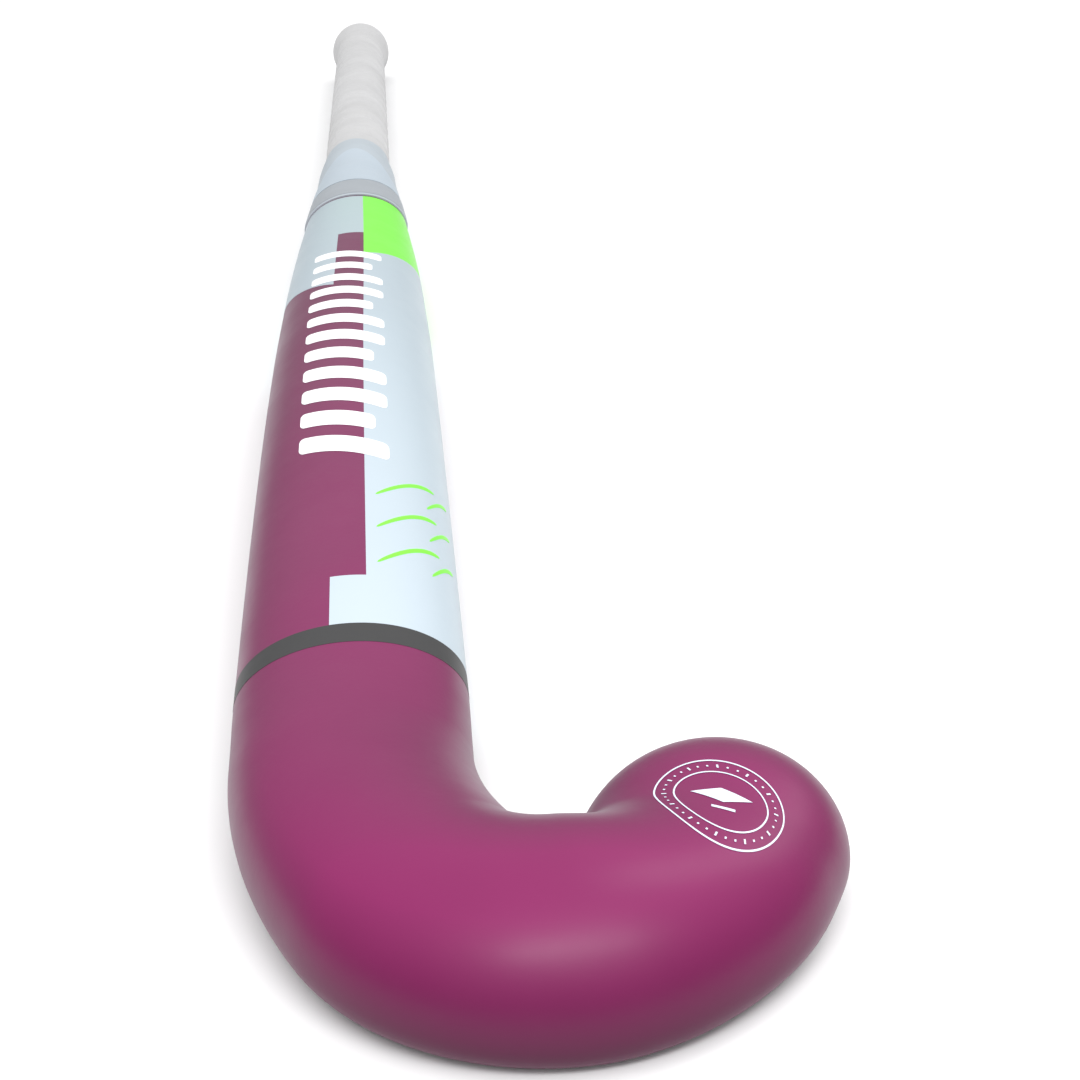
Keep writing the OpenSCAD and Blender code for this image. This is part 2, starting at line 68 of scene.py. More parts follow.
# Gap between pieces that are bonded together
BOND = 0.05

TOTAL_BEND = sum(r * math.radians(a) for r, a in BENDS)
TOE_TIP = TOTAL_BEND + TOE_STRAIGHT + TOE_ROUND


def walk(s):
    """x, y and heading on the centreline at distances s from the start of the first bend."""
    s = np.asarray(s, float)
    x, y, h = np.zeros_like(s), -s, np.full_like(s, -math.pi / 2)
    x0, y0, h0, s0 = 0.0, 0.0, -math.pi / 2, 0.0
    for r, a in BENDS:
        turn = math.radians(a)
        on = s > s0
        g = h0 + np.clip((s - s0) / r, 0, turn)
        x = np.where(on, x0 + r * (np.sin(g) - math.sin(h0)), x)
        y = np.where(on, y0 - r * (np.cos(g) - math.cos(h0)), y)
        h = np.where(on, g, h)
        x0 += r * (math.sin(h0 + turn) - math.sin(h0))
        y0 -= r * (math.cos(h0 + turn) - math.cos(h0))
        h0, s0 = h0 + turn, s0 + r * turn
    past = np.maximum(s - s0, 0)
    return x + past * math.cos(h0), y + past * math.sin(h0), h


def level():
    """Distance at which the centreline runs level, at the foot of the hook."""
    h, s = -math.pi / 2, 0.0
    for r, a in BENDS:
        if h + math.radians(a) >= 0:
            return s - h * r
        h, s = h + math.radians(a), s + r * math.radians(a)
    return s


FOOT_S = level()
FOOT_Y = float(walk(FOOT_S)[1]) - FOOT_W / 2
BUTT_Y = FOOT_Y + STICK_LENGTH

# ---- Bow: the face line rises straight, bends evenly and runs straight to the butt ----
BEND_HEIGHT = BOW_PLACE - FLAT_HEIGHT
BOW_K = BOW_DEPTH / (BEND_HEIGHT * FLAT_HEIGHT + BEND_HEIGHT**2 / 2)
FACE_SLOPE = BOW_K * BEND_HEIGHT
FOOT_RISE = EDGE_R * (1 + FACE_SLOPE - math.sqrt(1 + FACE_SLOPE**2))
BUTT_RISE = BULB_R + TAPE_T - HANDLE_W / 2 + FOOT_RISE
PAST = STICK_LENGTH - BOW_PLACE
BOW_PAST = PAST - math.sqrt(PAST**2 - 2 * (BOW_DEPTH - BUTT_RISE) / BOW_K)
HANDLE_SLOPE = BOW_K * BOW_PAST
HANDLE_TILT = math.atan(HANDLE_SLOPE)


def face_z(y):
    u = np.asarray(y, float) - FOOT_Y
    last = BOW_PLACE + BOW_PAST
    bent = np.clip(u, FLAT_HEIGHT, last) - FLAT_HEIGHT
    return FACE_SLOPE * np.minimum(u, last) - BOW_K * bent**2 / 2 - HANDLE_SLOPE * np.maximum(u - last, 0)


# ---- Section ----
def along(knots, s):
    """Smooth curve through [place, value] knots, with no overshoot."""
    k, v = (np.array(c, float) for c in zip(*knots))
    h, r = np.diff(k), np.diff(v) / np.diff(k)
    m = np.zeros(len(k))
    for i in range(1, len(k) - 1):
        if r[i - 1] * r[i] > 0:
            m[i] = 2 * r[i - 1] * r[i] / (r[i - 1] + r[i])
    i = np.clip(np.searchsorted(k, s, side="right") - 1, 0, len(k) - 2)
    t = np.clip((s - k[i]) / h[i], 0, 1)
    return (
        (2 * t**3 - 3 * t**2 + 1) * v[i]
        + (t**3 - 2 * t**2 + t) * m[i] * h[i]
        + (3 * t**2 - 2 * t**3) * v[i + 1]
        + (t**3 - t**2) * m[i + 1] * h[i]
    )


# Distances s run down the stick and round the hook, and are negative above the first bend
FLARE_S = -COLLAR_LOW - 90
MID_SHAFT_S = -215
WIDTHS = (
    (-BUTT_Y, HANDLE_W), (FLARE_S, HANDLE_W), (FLARE_S + 16, THROAT_W), (-COLLAR_LOW, COLLAR_W),
    (90 - COLLAR_LOW, NECK_W), (MID_SHAFT_S, SHAFT_W), (-RING_LOW, RING_W), (0, HOOK_W), (FOOT_S, FOOT_W),
    ((FOOT_S + TOE_TIP - TOE_ROUND) / 2, MID_W), (TOE_TIP - TOE_ROUND, TOE_W), (TOE_TIP, TOE_W),
)
DEPTHS = (
    (-BUTT_Y, HANDLE_W), (FLARE_S, HANDLE_W), (MID_SHAFT_S, SHAFT_T), (-RING_LOW, RING_T),
    (FOOT_S, FOOT_T), (TOE_TIP - TOE_ROUND, TOE_T), (TOE_TIP, TOE_T),
)
WALLS = ((-BUTT_Y, WALL), (-60, WALL), (10, HOOK_WALL), (TOE_TIP, HOOK_WALL))
# 1 where the section is round, on the handle, and 0 where it has a flat face
ROUNDNESS = ((-BUTT_Y, 1), (FLARE_S, 1), (FLARE_S + 248, 0), (TOE_TIP, 0))
# The back falls to the toe's tip over this share of the toe's rounding
BACK_CAP = 0.8
# Half width of the flat strip left under the round handle, and the edges' greatest share of the half width
STRIP_HALF, EDGE_SHARE = 0.4, 0.98


def cap(e, length):
    """Quarter ellipse that ends a size over its last length, at e before the end."""
    return np.sqrt(np.maximum(1 - (1 - np.clip(e / length, 0, 1)) ** 2, 0))


def size(s, g):
    """Half width, back height, edge width, edge height and height of the widest line, g outside the skin."""
    w, t, n = along(WIDTHS, s), along(DEPTHS, s), along(ROUNDNESS, s)
    ez = EDGE_R * (1 - n) + t / 2 * n
    ex = EDGE_R * (1 - n) + (w / 2 - STRIP_HALF) * n
    e = TOE_TIP + g - s
    a = (w / 2 + g) * cap(e, TOE_ROUND + g)
    return (
        a,
        (t - ez + g) * cap(e, BACK_CAP * TOE_ROUND + g),
        np.minimum(ex + g, EDGE_SHARE * a),
        (ez + g) * cap(e, EDGE_R + g),
        EDGE_R * (1 - n) + HANDLE_W / 2 * n,
    )


def raw(s, across, up, middle):
    """Points across from the centreline, and up from the widest line, in the stick's own frame."""
    x, y, h = walk(s)
    px, py = x - across * np.sin(h), y + across * np.cos(h)
    return np.stack([px, py, face_z(py) + middle + up], axis=-1)


def skin_raw(s, t, g=0.0):
    """Points on the outer skin at distances s and outline angles t in degrees, g outside it."""
    s, t, g = np.broadcast_arrays(np.asarray(s, float), np.asarray(t, float), np.asarray(g, float))
    a, up, ex, down, middle = size(s, g)
    c, q = np.cos(np.radians(t)), np.sin(np.radians(t))
    across = np.where(t <= 180, a * c, np.where(t <= 270, ex * (1 + c) - a, a - ex * (1 - c)))
    return raw(s, across, np.where(t <= 180, up, down) * q, middle)


# The frame's origin is the middle of the stick's footprint, on the surface it lies on
hook_s = np.arange(41) * TOE_TIP / 40
hook_x = np.concatenate([skin_raw(hook_s, 0.0)[:, 0], skin_raw(hook_s, 180.0)[:, 0]])
ORIGIN = np.array([(hook_x.max() + hook_x.min()) / 2, FOOT_Y + STICK_LENGTH / 2, FOOT_RISE])


def skin(s, t, g=0.0):
    return (skin_raw(s, t, g) - ORIGIN) * MM


# ---- Mesh helpers ----
def piece(name, verts, faces, mat, slot, *nodes, flat_edges=40):
    """A mesh piece on the one body, which stands for the CAD nodes named."""
    mesh = bpy.data.meshes.new(name)
    mesh.from_pydata([tuple(v) for v in verts], [], [tuple(f) for f in faces])
    bm = bmesh.new()
    bm.from_mesh(mesh)
    bmesh.ops.remove_doubles(bm, verts=bm.verts, dist=1e-7)
    bmesh.ops.dissolve_degenerate(bm, edges=bm.edges, dist=1e-8)
    bmesh.ops.recalc_face_normals(bm, faces=bm.faces)
    bm.to_mesh(mesh)
    bm.free()
    mesh.update()
    obj = bpy.data.objects.new(name, mesh)
    bpy.context.scene.collection.objects.link(obj)
    mesh.materials.append(mat)
    for p in mesh.polygons:
        p.use_smooth = True
    mesh.set_sharp_from_angle(angle=math.radians(flat_edges))
    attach(obj, BODY)
    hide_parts(*nodes)


def grid_faces(rows, columns, start=0, wrap=True):
    """Quads of a grid of points, closed round its columns if wrap."""
    i, j = np.meshgrid(np.arange(rows - 1), np.arange(columns if wrap else columns - 1), indexing="ij")
    a = start + i * columns + j
    b = start + i * columns + (j + 1) % columns
    return np.stack([a, b, b + columns, a + columns], axis=-1).reshape(-1, 4)


def ring_faces(first, second, count):
    """Quads between two closed rings of points that start at the indices given."""
    j = np.arange(count)
    k = (j + 1) % count
    return np.stack([first + j, first + k, second + k, second + j], axis=-1)


def wrapped_solid(outer, inner):
    """Verts and faces of a wall between two stacks of closed rings, open along its middle."""
    rows, columns = outer.shape[:2]
    under = rows * columns
    last = under - columns
    verts = np.concatenate([outer.reshape(-1, 3), inner.reshape(-1, 3)])
    faces = np.concatenate([
        grid_faces(rows, columns), grid_faces(rows, columns, under)[:, ::-1],
        ring_faces(0, under, columns), ring_faces(last, under + last, columns),
    ])
    return verts, faces


def sheet_solid(top, low):
    """Verts and faces of a thin closed sheet between two open grids of points."""
    rows, columns = top.shape[:2]
    under = rows * columns
    verts = np.concatenate([top.reshape(-1, 3), low.reshape(-1, 3)])
    rim = np.concatenate([
        np.arange(columns - 1), np.arange(rows - 1) * columns + columns - 1,
        under - 1 - np.arange(columns - 1), (rows - 1 - np.arange(rows - 1)) * columns,
    ])
    following = np.roll(rim, -1)
    sides = np.stack([rim, rim + under, following + under, following], axis=-1)
    over = grid_faces(rows, columns, wrap=False)
    return verts, np.concatenate([over, over[:, ::-1] + under, sides])


def joined(solids):
    """Verts and faces of several solids as one mesh."""
    verts, faces, base = [], [], 0
    for v, f in solids:
        verts.append(v)
        faces.append(np.asarray(f) + base)
        base += len(v)
    return np.concatenate(verts), np.concatenate(faces)


# ---- Stations and angles of the fine skin ----
# The flat face spans FACE_GAP degrees of outline, and is cut into FACE_CUTS strips
FACE_GAP, FACE_CUTS = 0.001, 8
BACK = np.linspace(0, 180, 73)
EDGE = np.linspace(0, 90, 10)[1:-1]
ANGLES = np.concatenate([BACK, 180 + EDGE, [270.0, 270 + FACE_GAP], 270 + EDGE])
SHELL_END = 6.0
SHAFT_S = np.concatenate([
    np.linspace(SHELL_END - BUTT_Y, FLARE_S - 10, 18),
    np.arange(FLARE_S - 6, -2, 3.0),
])
HOOK_S = np.linspace(0, TOE_TIP - TOE_ROUND, 96)
ALL_S = np.concatenate([SHAFT_S, HOOK_S])
TOE_STEPS = 26


def toe_s(g):
    """Stations over the toe's rounding, closer together towards the tip."""
    return TOE_TIP + g - (TOE_ROUND + g) * (1 - np.arange(1, TOE_STEPS) / TOE_STEPS) ** 2


def fine_ring_stack(s, g=0.0):
    """Rings of the skin, with extra points across the flat face."""
    s = np.asarray(s, float)[:, None]
    g = np.broadcast_to(np.asarray(g, float), (len(s),))[:, None]
    back = skin(s, ANGLES[ANGLES <= 270][None, :], g)
    front = skin(s, ANGLES[ANGLES > 270][None, :], g)
    w = np.linspace(0, 1, FACE_CUTS + 1)[1:-1][None, :, None]
    across = back[:, -1:] * (1 - w) + front[:, :1] * w
    return np.concatenate([back, across, front], axis=1)


# ---- Material helpers ----
def new_material(name):
    m = bpy.data.materials.new(name)
    m.use_nodes = True
    tree = m.node_tree
    bsdf = next(n for n in tree.nodes if n.type == "BSDF_PRINCIPLED")
    return m, tree, bsdf


def node(tree, kind, **values):
    """A new node, with inputs by their names and properties by theirs."""
    n = tree.nodes.new(kind)
    for k, v in values.items():
        if k in n.inputs:
            n.inputs[k].default_value = v
        else:
            setattr(n, k, v)
    return n


def coords(tree, scale=(1.0, 1.0, 1.0)):
    """Object coordinates in metres, stretched by scale."""
    tex = node(tree, "ShaderNodeTexCoord")
    mapping = node(tree, "ShaderNodeMapping", Scale=scale)
    tree.links.new(tex.outputs["Object"], mapping.inputs["Vector"])
    return mapping.outputs["Vector"]


def noise(tree, vector, scale, detail=4.0, rough=0.55):
    n = node(tree, "ShaderNodeTexNoise", Scale=scale, Detail=detail, Roughness=rough)
    tree.links.new(vector, n.inputs["Vector"])
    return n.outputs["Fac"]


def cells(tree, vector, scale):
    """Distance to the nearest of a scatter of points."""
    n = node(tree, "ShaderNodeTexVoronoi", Scale=scale)
    tree.links.new(vector, n.inputs["Vector"])
    return n.outputs["Distance"]


def span(tree, value, a, b, c, d):
    """Maps a to b on to c to d."""
    n = node(tree, "ShaderNodeMapRange")
    for i, x in enumerate((a, b, c, d)):
        n.inputs[i + 1].default_value = x
    tree.links.new(value, n.inputs[0])
    return n.outputs[0]


def combine(tree, operation, a, b):
    n = node(tree, "ShaderNodeMath", operation=operation)
    tree.links.new(a, n.inputs[0])
    tree.links.new(b, n.inputs[1])
    return n.outputs[0]


def mix_colour(tree, fac, a, b):
    """Mix of two colours, each a linear triple or a socket."""
    n = node(tree, "ShaderNodeMix", data_type="RGBA")
    tree.links.new(fac, n.inputs[0])
    for socket, v in ((n.inputs[6], a), (n.inputs[7], b)):
        if isinstance(v, tuple):
            socket.default_value = (*v, 1)
        else:
            tree.links.new(v, socket)
    return n.outputs[2]


def bump(tree, bsdf, height, strength, distance):
    n = node(tree, "ShaderNodeBump", Strength=strength, Distance=distance)
    tree.links.new(height, n.inputs["Height"])
    tree.links.new(n.outputs["Normal"], bsdf.inputs["Normal"])


def srgb(r, g, b):
    """Linear colour from 0-255 display values."""
    def lin(c):
        c /= 255
        return c / 12.92 if c <= 0.04045 else ((c + 0.055) / 1.055) ** 2.4
    return lin(r), lin(g), lin(b)


def scaled(colour, k):
    return tuple(c * k for c in colour)


# ---- Paints of the printed laminate ----
def satin_paint(name, colour, grazing_shade=None, shade=0.06, rough=0.4, coat=0.1, spec=0.38, mint=None, low=None):
    """Satin lacquer over a colour: faint mottling, fine orange peel and handling haze, with painted shade at
    grazing view angles and, where asked, close to the floor.
    """
    m, tree, bsdf = new_material(name)
    v = coords(tree)
    axes = node(tree, "ShaderNodeSeparateXYZ")
    tree.links.new(v, axes.inputs[0])
    mottle = span(tree, noise(tree, v, scale=14, detail=3), 0.35, 0.65, 0, 1)
    light = tuple(min(c * (1 + shade) + 0.002, 1) for c in colour)
    base = mix_colour(tree, mottle, scaled(colour, 1 - shade), light)
    if mint:
        # Fade to mint beside the split near the collar, by place along and across the shaft
        fade, on_y, on_x = mint
        high = span(tree, axes.outputs["Y"], *on_y)
        side = span(tree, axes.outputs["X"], *on_x)
        base = mix_colour(tree, combine(tree, "MULTIPLY", high, side), base, fade)
    if low:
        # Painted shade: the colour darkens to low times itself close to the floor, low on the hook and
        # towards the face's edges
        low_shade = span(tree, axes.outputs["Z"], 0.002, 0.022, 1, 0)
        base = mix_colour(tree, low_shade, base, scaled(colour, low))
    # Painted shade: the base colour darkens towards this colour where the surface is seen at a grazing angle
    if grazing_shade:
        facing = node(tree, "ShaderNodeLayerWeight", Blend=0.5)
        base = mix_colour(tree, span(tree, facing.outputs["Facing"], 0.35, 0.95, 0, 1), base, grazing_shade)
    tree.links.new(base, bsdf.inputs["Base Color"])
    haze = noise(tree, v, scale=45, detail=5, rough=0.65)
    tree.links.new(span(tree, haze, 0.3, 0.7, rough - 0.04, rough + 0.05), bsdf.inputs["Roughness"])
    bsdf.inputs["Specular IOR Level"].default_value = spec
    bsdf.inputs["Coat Weight"].default_value = coat
    bsdf.inputs["Coat Roughness"].default_value = 0.3
    bump(tree, bsdf, noise(tree, v, scale=900, detail=2), strength=0.06, distance=0.0002)
    return m


# Line between the heel side's panels and the toe side's, in metres across
SPLIT_X = -ORIGIN[0] * MM
# The plum darkens as painted shade at grazing view angles and as painted shade close to the floor
plum_paint = satin_paint(
    "plum_paint", srgb(125, 2, 83), grazing_shade=srgb(88, 7, 59), low=0.25, coat=0.14, spec=0.3)
# The pale blue darkens as painted shade at grazing view angles
blue_paint = satin_paint(
    "pale_blue_paint", srgb(195, 208, 218), grazing_shade=srgb(158, 172, 180), shade=0.012,
    mint=(srgb(178, 214, 196), (-0.12, -0.015, 0.0, 0.85), (SPLIT_X - 0.003, SPLIT_X - 0.014, 1.0, 0.35)))
# The lime darkens as painted shade at grazing view angles
lime_paint = satin_paint("lime_paint", srgb(128, 250, 52), grazing_shade=srgb(110, 215, 50), shade=0.02)
white_paint = satin_paint("white_paint", srgb(243, 243, 245), shade=0.008)
ring_paint = satin_paint("ring_paint", srgb(46, 46, 47), shade=0.03, rough=0.5, coat=0.05)
mark_paint = satin_paint("mark_paint", srgb(214, 224, 236), shade=0.01)


# ---- Tapes ----
def grip_material():
    """Soft porous tape, a little soiled in patches."""
    m, tree, bsdf = new_material("grip_tape")
    v = coords(tree)
    broad = span(tree, noise(tree, v, scale=30), 0.3, 0.7, 0, 1)
    base = mix_colour(tree, broad, srgb(178, 178, 179), srgb(190, 190, 191))
    grime = span(tree, noise(tree, v, scale=9, detail=6, rough=0.7), 0.45, 0.8, 0, 0.25)
    base = mix_colour(tree, grime, base, srgb(160, 159, 157))
    tree.links.new(base, bsdf.inputs["Base Color"])
    bsdf.inputs["Roughness"].default_value = 0.72
    bsdf.inputs["Sheen Weight"].default_value = 0.12
    pores = span(tree, cells(tree, v, scale=900), 0.0, 0.5, 0.0, 1.0)
    fine = span(tree, noise(tree, v, scale=2200, detail=3), 0, 1, 0, 0.5)
    bump(tree, bsdf, combine(tree, "ADD", pores, fine), strength=0.35, distance=0.0003)
    return m


def tape_material(name, colour, rough):
    """Stretched adhesive tape, with a faint grain across the stick."""
    m, tree, bsdf = new_material(name)
    v = coords(tree)
    broad = span(tree, noise(tree, v, scale=60), 0.3, 0.7, 0, 1)
    tree.links.new(mix_colour(tree, broad, scaled(colour, 0.95), colour), bsdf.inputs["Base Color"])
    patches = noise(tree, v, scale=80)
    tree.links.new(span(tree, patches, 0.3, 0.7, rough - 0.05, rough + 0.06), bsdf.inputs["Roughness"])
    grain = noise(tree, coords(tree, (1, 30, 1)), scale=120, detail=3)
    bump(tree, bsdf, grain, strength=0.12, distance=0.0003)
    return m


grip_tape = grip_material()
collar_film = tape_material("collar_tape", srgb(168, 177, 184), 0.55)
label_paint = tape_material("collar_label", srgb(172, 184, 194), 0.45)
cuff_film = tape_material("collar_cuff", srgb(150, 156, 162), 0.5)


# ---- Inner materials, for the CAD nodes that stay ----
def weave_material(name, dark, light, pitch, rough, coat=0.0):
    """Two sets of crossing yarns, as in woven carbon or aramid."""
    m, tree, bsdf = new_material(name)
    v = coords(tree)
    check = node(tree, "ShaderNodeTexChecker", Scale=1 / pitch)
    tree.links.new(v, check.inputs["Vector"])
    base = mix_colour(tree, check.outputs["Fac"], dark, light)
    yarns = span(tree, noise(tree, v, scale=300, detail=3), 0.3, 0.7, 0, 0.35)
    tree.links.new(mix_colour(tree, yarns, base, dark), bsdf.inputs["Base Color"])
    bsdf.inputs["Roughness"].default_value = rough
    bsdf.inputs["Coat Weight"].default_value = coat
    bump(tree, bsdf, check.outputs["Fac"], strength=0.3, distance=0.0001)
    return m


def foam_material(name, colour, cell):
    """Foam or rubber with cells of the size given, in metres."""
    m, tree, bsdf = new_material(name)
    walls = cells(tree, coords(tree), scale=1 / cell)
    base = mix_colour(tree, span(tree, walls, 0.1, 0.6, 0, 1), scaled(colour, 0.8), colour)
    tree.links.new(base, bsdf.inputs["Base Color"])
    bsdf.inputs["Roughness"].default_value = 0.85
    bump(tree, bsdf, walls, strength=0.5, distance=0.0004)
    return m


carbon = weave_material("carbon_weave", (0.012, 0.013, 0.015), (0.035, 0.037, 0.04), 0.002, 0.4, coat=0.3)
cap_rubber = foam_material("cap_rubber", srgb(150, 152, 156), 0.0004)
INNER = {
    "tube_toe_side": carbon,
    "tube_heel_side": carbon,
    "hook_core": foam_material("core_foam", srgb(228, 214, 176), 0.0012),
    "heel_patch": weave_material("aramid_weave", srgb(178, 138, 40), srgb(222, 184, 74), 0.0015, 0.6),
    "damping_plug": foam_material("damping_rubber", (0.02, 0.02, 0.022), 0.0008),
    "grip_underlay": foam_material("underlay_foam", srgb(190, 192, 196), 0.0006),
}
for name, mat in INNER.items():
    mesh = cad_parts[name].data
    mesh.materials.clear()
    mesh.materials.append(mat)


# ---- Laminate ----
def laminate():
    """The outer skin and the inner wall, open at the butt and closed at the toe's tip."""
    outer_s = np.concatenate([SHAFT_S, HOOK_S, toe_s(0.0)])
    inner_s = np.concatenate([SHAFT_S, HOOK_S, toe_s(-HOOK_WALL)])
    outer = fine_ring_stack(outer_s)
    inner = fine_ring_stack(inner_s, -along(WALLS, inner_s))
    rows, columns = outer.shape[:2]
    under, last = rows * columns, (rows - 1) * columns
    tips = [skin([TOE_TIP], 0.0), skin([TOE_TIP - HOOK_WALL], 0.0, -HOOK_WALL)]
    verts = np.concatenate([outer.reshape(-1, 3), inner.reshape(-1, 3), *tips])
    quads = [
        grid_faces(rows, columns), grid_faces(rows, columns, under)[:, ::-1],
        ring_faces(0, under, columns)[:, ::-1],
    ]
    j = np.arange(columns)
    k = (j + 1) % columns
    outer_fan = [(last + a, last + b, 2 * under) for a, b in zip(j, k)]
    inner_fan = [(under + last + b, under + last + a, 2 * under + 1) for a, b in zip(j, k)]
    faces = [tuple(f) for f in np.concatenate(quads)] + outer_fan + inner_fan
    piece("laminate", verts, faces, plum_paint, "plum_laminate", "outer_shell", flat_edges=60)


laminate()

# ---- Panels and ring, as films on the skin ----
# Heights of a film's two sides over the skin, and of a mark that lies on a film
LOW, HIGH = 0.005, 0.045
MARK_LOW, MARK_HIGH = 0.06, 0.1

# Angles and heights that bound the panels, and how far their cross edges climb to the sides
SPLIT_T, STEP_T, COLUMN_T = 79.0, 97.5, 102.0
STEP_TOP, PLUM_TOP, COLUMN_TOP, GREEN_LOW = 47.5, 247.0, 317.0, 286.0
GREEN_RISE, PLUM_RISE = 15.0, 20.0
# Length over which a climbing edge's slant dies out
SLANT_REACH = 40


def between(values, low, high, gap):
    """The values that lie clear inside low and high, with those two."""
    inside = [v for v in values if low + gap < v < high - gap]
    return np.array([low, *inside, high])


def with_values(values, extra, gap):
    """The values clear of the extra ones, with the extra ones."""
    kept = [v for v in values if min(abs(v - e) for e in extra) > gap]
    return np.array(sorted([*kept, *extra]))


def near(d):
    """1 at no distance, and nothing well past the slant's reach."""
    return np.exp(-((d / SLANT_REACH) ** 2))


def slant(s, t):
    """The panels' cross edges climb towards the toe side (green) and the heel side (plum)."""
    u = np.where(t > 271, t - 360, t)
    green = GREEN_RISE * np.clip((SPLIT_T - u) / 70, 0, 1) * near(s + GREEN_LOW)
    plum = PLUM_RISE * np.clip((u - COLUMN_T) / 60, 0, 1) * near(s + PLUM_TOP)
    return s - green - plum


def mosaic(name, covers, mat, slot, node_name):
    """One film over the cells of the skin's own grid where covers(s, t) holds at the middle."""
    s = with_values(between(SHAFT_S, -COLLAR_LOW + 1, -RING_LOW - RING_H - 0.05, 0.5),
                    [-STEP_TOP, -PLUM_TOP, -COLUMN_TOP, -GREEN_LOW], 0.8)
    t = with_values(ANGLES, [SPLIT_T, STEP_T, COLUMN_T], 0.6)
    place = slant(s[:, None], t[None, :])
    verts = np.concatenate([skin(place, t[None, :], g).reshape(-1, 3) for g in (HIGH, LOW)])
    rows, columns = len(s), len(t)
    under = rows * columns
    middle_s = (s[:-1] + s[1:]) / 2
    middle_t = (t + np.append(t[1:], 360.0)) / 2
    kept = covers(middle_s[:, None], middle_t[None, :])
    faces = []
    for i, j in np.argwhere(kept):
        k = (j + 1) % columns
        a, b, c, d = i * columns + j, i * columns + k, (i + 1) * columns + k, (i + 1) * columns + j
        faces += [(a, b, c, d), (d + under, c + under, b + under, a + under)]
        # A wall along each side where the next cell isn't covered
        if i == 0 or not kept[i - 1, j]:
            faces.append((a, a + under, b + under, b))
        if not kept[i, k]:
            faces.append((b, b + under, c + under, c))
        if i == rows - 2 or not kept[i + 1, j]:
            faces.append((c, c + under, d + under, d))
        if not kept[i, (j - 1) % columns]:
            faces.append((d, d + under, a + under, a))
    used, renumbered = np.unique(faces, return_inverse=True)
    piece(name, verts[used], renumbered.reshape(-1, 4), mat, slot, node_name)


def toe_half(t):
    return (t < SPLIT_T) | (t > 271)


def is_green(s, t):
    return toe_half(t) & (s < -GREEN_LOW)


def is_blue(s, t):
    return ~is_green(s, t) & (
        toe_half(t)
        | ((t < STEP_T) & (s > -STEP_TOP))
        | ((t > COLUMN_T) & (s < -PLUM_TOP))
        | ((t < COLUMN_T) & (s < -COLUMN_TOP))
    )


def ring_film():
    s = between(ALL_S, -RING_LOW - RING_H, -RING_LOW, 0.4)
    solid = wrapped_solid(fine_ring_stack(s, HIGH), fine_ring_stack(s, LOW))
    piece("ring_film", *solid, ring_paint, "ring_print", "dark_ring")


mosaic("blue_panel_film", is_blue, blue_paint, "blue_print", "blue_panel")
mosaic("green_panel_film", is_green, lime_paint, "green_print", "green_panel")
ring_film()

# ---- Bars and strokes on the shaft ----
# White bars across the back, in groups of three: heights of the lowest and the highest
BAR_LOW, BAR_HIGH, BAR_COUNT = 113.0, 285.0, 12
# Half thickness of the lowest bar, and how much thinner the highest is
BAR_HALF, BAR_THINNER = 4.6, 0.6
# Angles at the bars' ends, and how much further the highest reaches
BAR_START, BAR_SHORT_START, BAR_END, BAR_FURTHER = 64, 72, 119, 3
# Lean in mm a degree about an angle, and the degrees over which the ends are rounded
BAR_LEAN, BAR_LEAN_T, BAR_ROUND = 0.15, 92, 3.5
# Lime strokes: three long and three short
WAVE_LOW, WAVE_GAP, WAVE_COUNT = 53.5, 16.0, 3


def shaft_mark(s, t):
    """A mark on the shaft at distances s and angles t."""
    return sheet_solid(skin(s, t, MARK_HIGH), skin(s, t, MARK_LOW))


def bar(i):
    """The bars get thinner and wider up the shaft, and the middle one of each three is shorter."""
    k = i / (BAR_COUNT - 1)
    half = BAR_HALF - BAR_THINNER * k
    start = BAR_SHORT_START if i % 3 == 1 else BAR_START
    end = BAR_END + BAR_FURTHER * k
    u = (1 - np.cos(np.linspace(0, np.pi, 61))) / 2
    t = start + (end - start) * u
    inset = np.clip(np.minimum(t - start, end - t) / BAR_ROUND, 0, 1)
    thick = half * (0.45 + 0.55 * np.sqrt(np.maximum(1 - (1 - inset) ** 2, 0)))
    s = -(BAR_LOW + (BAR_HIGH - BAR_LOW) * k) - BAR_LEAN * (t - BAR_LEAN_T)
    w = np.linspace(-1, 1, 9)[:, None]
    return shaft_mark(s - w * thick, np.broadcast_to(t, (9, 61)))


def stroke(height, rise, t0, t1):
    """A tapered stroke that rises as it runs from t1 to t0."""
    u = np.linspace(0, 1, 41)
    t = t1 + (t0 - t1) * u
    s = -height - rise * np.sin(np.pi / 2 * u)
    half = 0.15 + 0.75 * np.sqrt(np.maximum(1 - (2 * u - 1) ** 4, 0))
    w = np.linspace(-1, 1, 5)[:, None]
    return shaft_mark(s + w * half, np.broadcast_to(t, (5, 41)))


def strokes():
    made = []
    for i in range(WAVE_COUNT):
        height = WAVE_LOW + WAVE_GAP * i
        made.append(stroke(height, rise=11.5, t0=32, t1=73))
        made.append(stroke(height + 0.8, rise=9, t0=17, t1=39.5))
    return made


piece("bar_films", *joined([bar(i) for i in range(BAR_COUNT)]), white_paint, "bar_print", "shaft_bars")
piece("stroke_films", *joined(strokes()), lime_paint, "wave_print", "wave_marks")

# ---- Roundel on the toe: two rings with ticks between them, round a lozenge over a short bar ----
ROUNDEL_S, ROUNDEL_P, ROUNDEL_R = TOE_TIP - 30, -3.6, 11.7
ROUNDEL_INNER = ROUNDEL_R * 0.7
# Mean radius of the toe's rounded back, over which the roundel wraps
BACK_R = 17.5
# Steps along and across the toe for a step along the roundel's own x and y, which sit askew
X_STEP, Y_STEP = (-0.12, 0.98), (0.88, 0.33)
# Widths of the two rings' lines
RING_LINE, INNER_LINE = 0.35, 0.3
# Ticks: number, gaps to the inner and outer rings, half width, and every third one's extra at each end
TICKS, TICK_IN, TICK_OUT, TICK_HALF, TICK_LONGER = 36, 1.4, 1.7, 0.17, 0.25
# Lozenge: its half diagonals are twice these, and its middle is above the roundel's
LOZENGE_X, LOZENGE_Y, LOZENGE_UP = 2.6, 1.1, 1.0


